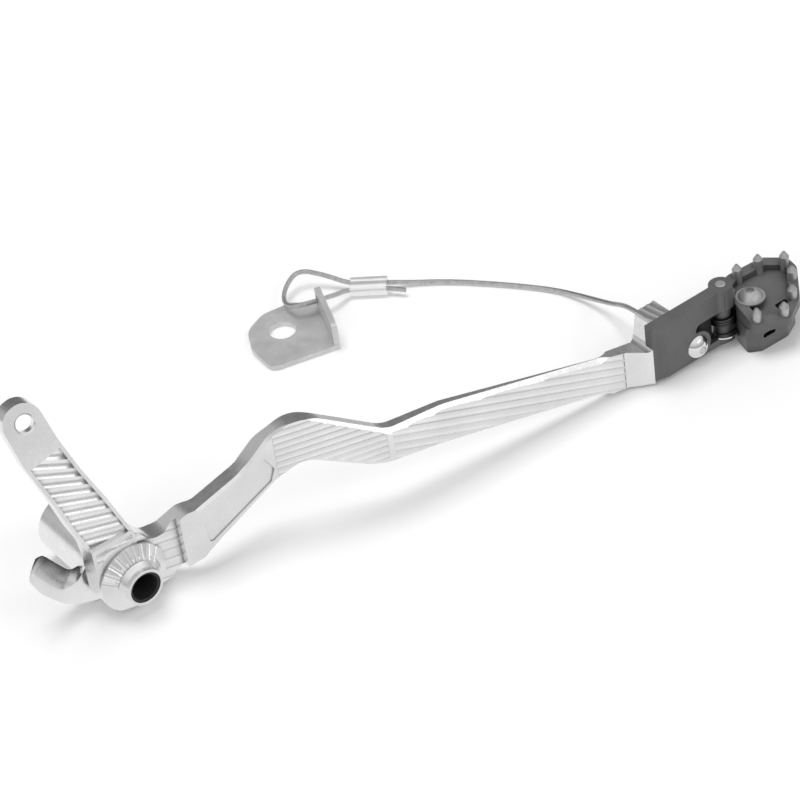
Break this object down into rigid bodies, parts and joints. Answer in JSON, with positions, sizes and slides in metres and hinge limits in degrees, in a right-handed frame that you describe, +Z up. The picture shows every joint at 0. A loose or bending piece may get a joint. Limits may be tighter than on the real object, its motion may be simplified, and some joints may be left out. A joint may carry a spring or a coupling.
{
  "type": "rear brake pedal",
  "caption": "Machined motorcycle rear brake pedal with a leaning clevis arm, a spring hook, a folding cleated toe tip and a safety cable with its bracket.",
  "frame": {"origin": "middle of the pivot bore, on its axis, at the plane of the machined web", "axes": "+X forward along the pedal towards the toe tip, +Z up, -Y along the pivot bore towards the outer side that faces the rider's boot"},
  "size_m": [0.3122, 0.1675, 0.089],
  "materials": {
    "machined_aluminium": "bright machined",
    "dark_anodised": "satin anodised",
    "bright_steel": "bright plated",
    "plain_steel": "plain",
    "cleat_steel": "blackened",
    "wire_rope": "stranded",
    "ferrule_aluminium": "crimped",
    "bracket_steel": "satin",
    "bushing_liner": "dark lined",
    "seal_rubber": "matt"
  },
  "bodies": {
    "arm": {"pedal_arm": "machined_aluminium", "pivot_bushing_outer": "bushing_liner", "pivot_bushing_inner": "bushing_liner", "pivot_seal_outer": "seal_rubber", "pivot_seal_inner": "seal_rubber", "tip_base_block": "dark_anodised", "block_screw": "bright_steel", "block_dowel": "plain_steel", "hinge_pin": "plain_steel", "hinge_clip": "plain_steel", "hinge_washer": "bright_steel", "hinge_spring": "plain_steel", "cable_end_stop": "plain_steel", "snake_cable": "wire_rope", "cable_ferrule": "ferrule_aluminium", "snake_bracket": "bracket_steel"},
    "toe": {"toe_knuckle": "dark_anodised", "toe_platform": "dark_anodised", "platform_screw": "bright_steel", "platform_washer": "bright_steel", "toe_cleat_a": "cleat_steel", "toe_cleat_b": "cleat_steel", "toe_cleat_c": "cleat_steel", "toe_cleat_d": "cleat_steel", "toe_cleat_e": "cleat_steel", "toe_cleat_f": "cleat_steel", "toe_cleat_g": "cleat_steel"}
  },
  "joints": [
    {"name": "toe_fold", "type": "hinge", "parent": "arm", "child": "toe", "pos_m": [0.2435, -0.045, 0], "axis": [0, 0, 1], "range_deg": [-60, 0], "stiffness_Nm_per_rad": 0.3, "springref_deg": 28.65}
  ]
}
